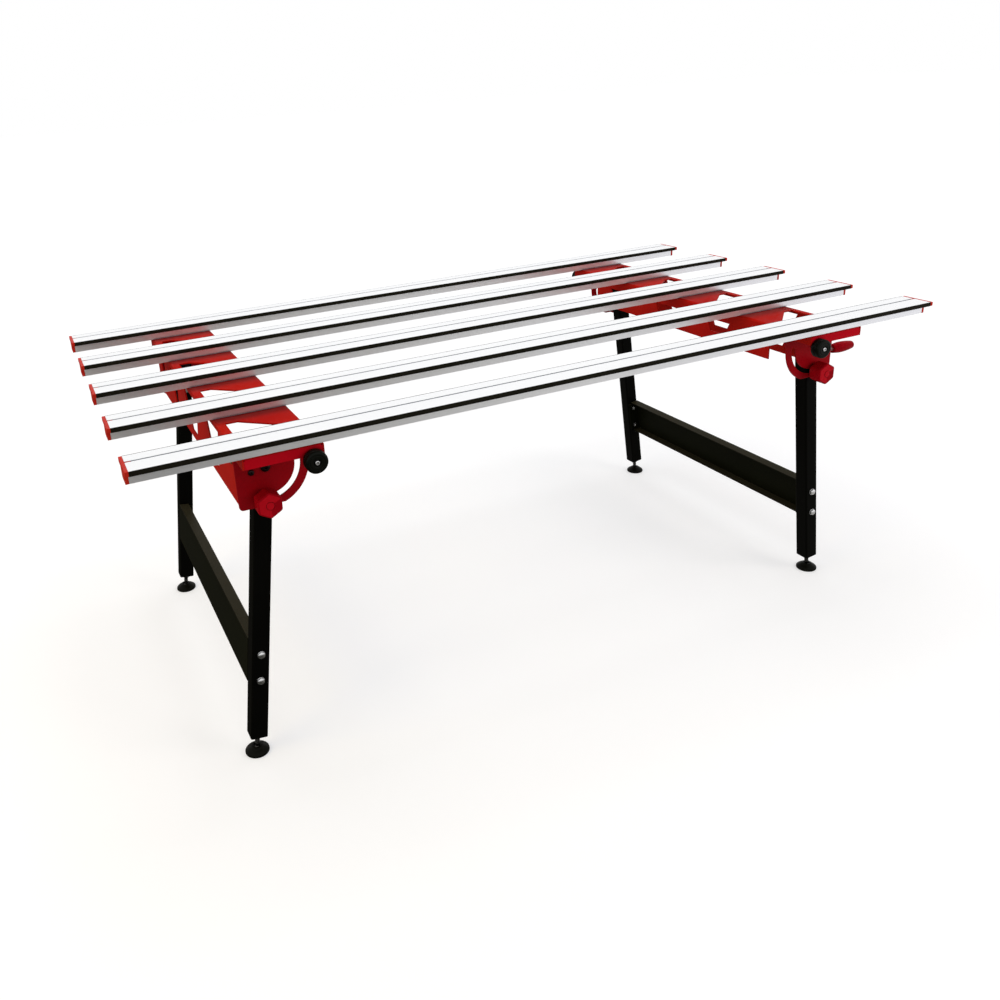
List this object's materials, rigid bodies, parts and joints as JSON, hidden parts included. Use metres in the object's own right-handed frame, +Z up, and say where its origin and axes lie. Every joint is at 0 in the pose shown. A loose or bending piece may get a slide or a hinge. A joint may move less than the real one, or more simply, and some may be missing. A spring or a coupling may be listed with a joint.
{
  "type": "tile slab table",
  "caption": "Free-standing slotted-rail work table for large tile slabs, with splayed leg frames that fold in under the rails and screw feet.",
  "frame": {"origin": "on the floor, under the middle of the table", "axes": "+X along the rails, +Y across them towards the back, +Z up"},
  "size_m": [1.8, 0.956, 0.702],
  "materials": {
    "rail_alloy": "satin",
    "cap_red": "satin",
    "edge_rubber": "matte",
    "red_paint": "gloss",
    "black_paint": "satin",
    "black_plastic": "satin",
    "knob_red": "gloss",
    "foot_rubber": "satin",
    "zinc_steel": "polished",
    "dark_steel": "satin",
    "brass_screw": "satin"
  },
  "bodies": {
    "table": {"rail_1": "rail_alloy", "rail_2": "rail_alloy", "rail_3": "rail_alloy", "rail_4": "rail_alloy", "rail_5": "rail_alloy", "rail_caps": "cap_red", "edge_strips": "edge_rubber", "rail_bolts": "zinc_steel", "rail_nuts": "zinc_steel", "beam_top_left": "red_paint", "beam_outer_web_left": "red_paint", "beam_inner_web_left": "red_paint", "beam_top_right": "red_paint", "beam_outer_web_right": "red_paint", "beam_inner_web_right": "red_paint", "end_plates_left": "red_paint", "end_plates_right": "red_paint", "brackets_left": "red_paint", "brackets_right": "red_paint", "bracket_screws": "brass_screw", "leg_stops": "dark_steel", "pivot_bolts": "dark_steel", "pivot_spacers": "black_plastic", "bumpers": "edge_rubber", "bumper_screws": "zinc_steel", "clamp_nuts": "zinc_steel"},
    "leg_frame_left": {"tubes_left": "black_paint", "brace_left": "black_paint", "brace_bolts_left": "zinc_steel", "brace_nuts_left": "zinc_steel", "tube_plugs_left": "black_plastic", "lock_studs_left": "zinc_steel", "lock_washers_left": "zinc_steel"},
    "leg_frame_right": {"tubes_right": "black_paint", "brace_right": "black_paint", "brace_bolts_right": "zinc_steel", "brace_nuts_right": "zinc_steel", "tube_plugs_right": "black_plastic", "lock_studs_right": "zinc_steel", "lock_washers_right": "zinc_steel"},
    "knob_front_left": {"knob_front_left": "knob_red"},
    "foot_stem_front_left": {"stem_front_left": "zinc_steel"},
    "foot_disc_front_left": {"disc_front_left": "foot_rubber"},
    "knob_back_left": {"knob_back_left": "knob_red"},
    "foot_stem_back_left": {"stem_back_left": "zinc_steel"},
    "foot_disc_back_left": {"disc_back_left": "foot_rubber"},
    "knob_front_right": {"knob_front_right": "knob_red"},
    "foot_stem_front_right": {"stem_front_right": "zinc_steel"},
    "foot_disc_front_right": {"disc_front_right": "foot_rubber"},
    "knob_back_right": {"knob_back_right": "knob_red"},
    "foot_stem_back_right": {"stem_back_right": "zinc_steel"},
    "foot_disc_back_right": {"disc_back_right": "foot_rubber"},
    "side_clamp_front": {"side_stud_front": "zinc_steel", "side_grip_front": "knob_red"},
    "side_clamp_back": {"side_stud_back": "zinc_steel", "side_grip_back": "knob_red"}
  },
  "joints": [
    {"name": "fold_left", "type": "hinge", "parent": "table", "child": "leg_frame_left", "pos_m": [-0.653, 0, 0.618], "axis": [0, -1, 0], "range_deg": [0, 97.6]},
    {"name": "fold_right", "type": "hinge", "parent": "table", "child": "leg_frame_right", "pos_m": [0.653, 0, 0.618], "axis": [0, 1, 0], "range_deg": [0, 97.6]},
    {"name": "knob_front_left_turn", "type": "hinge", "parent": "leg_frame_left", "child": "knob_front_left", "pos_m": [-0.661, -0.4, 0.55803], "axis": [0, -1, 0], "continuous": true},
    {"name": "foot_front_left_screw", "type": "slide", "parent": "leg_frame_left", "child": "foot_stem_front_left", "axis": [-0.1323, 0, -0.9912], "range_m": [0, 0.015]},
    {"name": "foot_front_left_tilt", "type": "hinge", "parent": "foot_stem_front_left", "child": "foot_disc_front_left", "pos_m": [-0.73439, -0.3575, 0.008], "axis": [0, 1, 0], "range_deg": [-8, 18]},
    {"name": "knob_back_left_turn", "type": "hinge", "parent": "leg_frame_left", "child": "knob_back_left", "pos_m": [-0.661, 0.4, 0.55803], "axis": [0, 1, 0], "continuous": true},
    {"name": "foot_back_left_screw", "type": "slide", "parent": "leg_frame_left", "child": "foot_stem_back_left", "axis": [-0.1323, 0, -0.9912], "range_m": [0, 0.015]},
    {"name": "foot_back_left_tilt", "type": "hinge", "parent": "foot_stem_back_left", "child": "foot_disc_back_left", "pos_m": [-0.73439, 0.3575, 0.008], "axis": [0, 1, 0], "range_deg": [-8, 18]},
    {"name": "knob_front_right_turn", "type": "hinge", "parent": "leg_frame_right", "child": "knob_front_right", "pos_m": [0.661, -0.4, 0.55803], "axis": [0, -1, 0], "continuous": true},
    {"name": "foot_front_right_screw", "type": "slide", "parent": "leg_frame_right", "child": "foot_stem_front_right", "axis": [0.1323, 0, -0.9912], "range_m": [0, 0.015]},
    {"name": "foot_front_right_tilt", "type": "hinge", "parent": "foot_stem_front_right", "child": "foot_disc_front_right", "pos_m": [0.73439, -0.3575, 0.008], "axis": [0, -1, 0], "range_deg": [-8, 18]},
    {"name": "knob_back_right_turn", "type": "hinge", "parent": "leg_frame_right", "child": "knob_back_right", "pos_m": [0.661, 0.4, 0.55803], "axis": [0, 1, 0], "continuous": true},
    {"name": "foot_back_right_screw", "type": "slide", "parent": "leg_frame_right", "child": "foot_stem_back_right", "axis": [0.1323, 0, -0.9912], "range_m": [0, 0.015]},
    {"name": "foot_back_right_tilt", "type": "hinge", "parent": "foot_stem_back_right", "child": "foot_disc_back_right", "pos_m": [0.73439, 0.3575, 0.008], "axis": [0, -1, 0], "range_deg": [-8, 18]},
    {"name": "side_clamp_front_turn", "type": "hinge", "parent": "table", "child": "side_clamp_front", "pos_m": [0.75, -0.3575, 0.59], "axis": [1, 0, 0], "range_deg": [0, 360]},
    {"name": "side_clamp_back_turn", "type": "hinge", "parent": "table", "child": "side_clamp_back", "pos_m": [-0.75, 0.3575, 0.59], "axis": [-1, 0, 0], "range_deg": [0, 360]}
  ]
}
